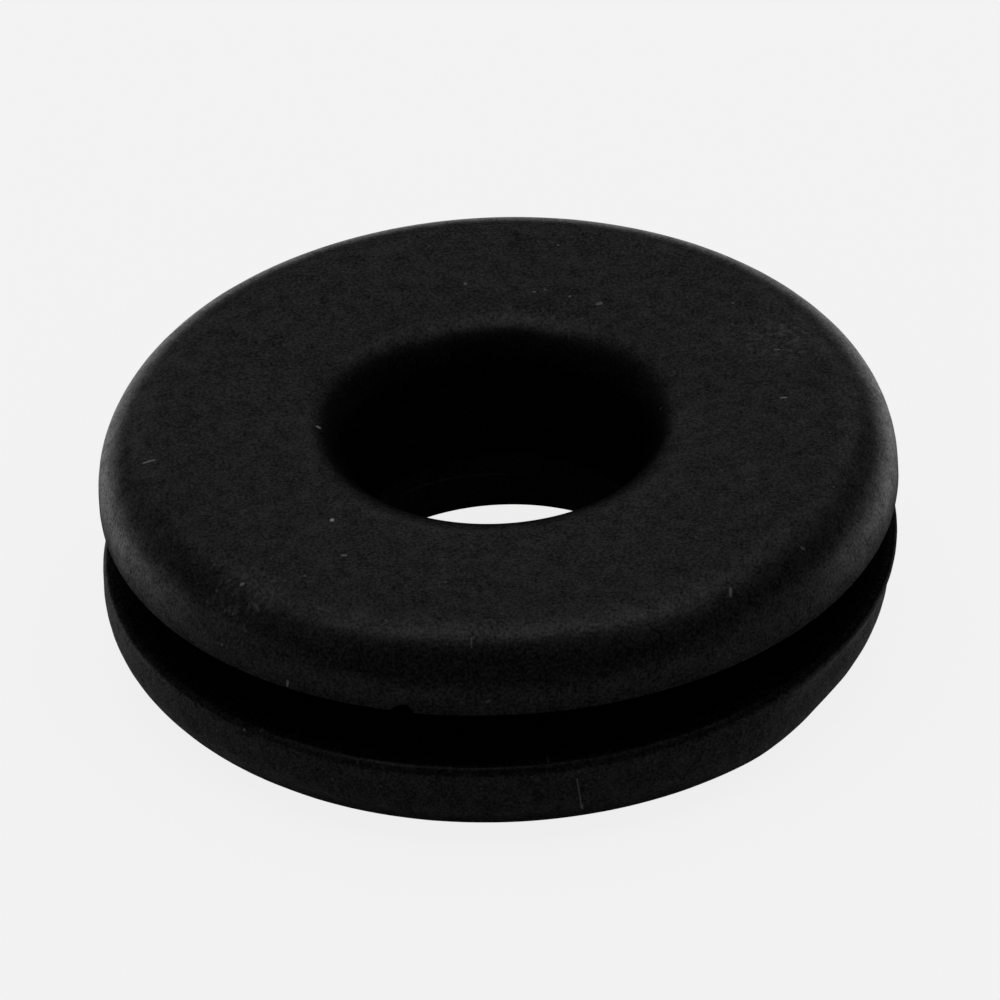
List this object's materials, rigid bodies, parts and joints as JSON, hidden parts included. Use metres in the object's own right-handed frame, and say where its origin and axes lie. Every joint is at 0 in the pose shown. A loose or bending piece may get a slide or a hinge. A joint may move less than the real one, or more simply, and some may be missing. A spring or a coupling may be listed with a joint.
{
  "type": "rubber grommet",
  "caption": "Round moulded rubber grommet with a rounded through bore and an edge groove between two flanges, lining a panel hole for a cable or tube",
  "frame": {"origin": "on the bore's axis, at half the groove's width, where the panel's middle plane lies", "axes": "+Z along the bore's axis, out of the upper flange's flat face; X and Y are free, because the part is round"},
  "size_m": [0.026, 0.026, 0.0078],
  "materials": {
    "black_rubber": "matt moulded rubber with fine grain and dust"
  },
  "bodies": {
    "root": {"grommet": "black_rubber"}
  },
  "joints": []
}
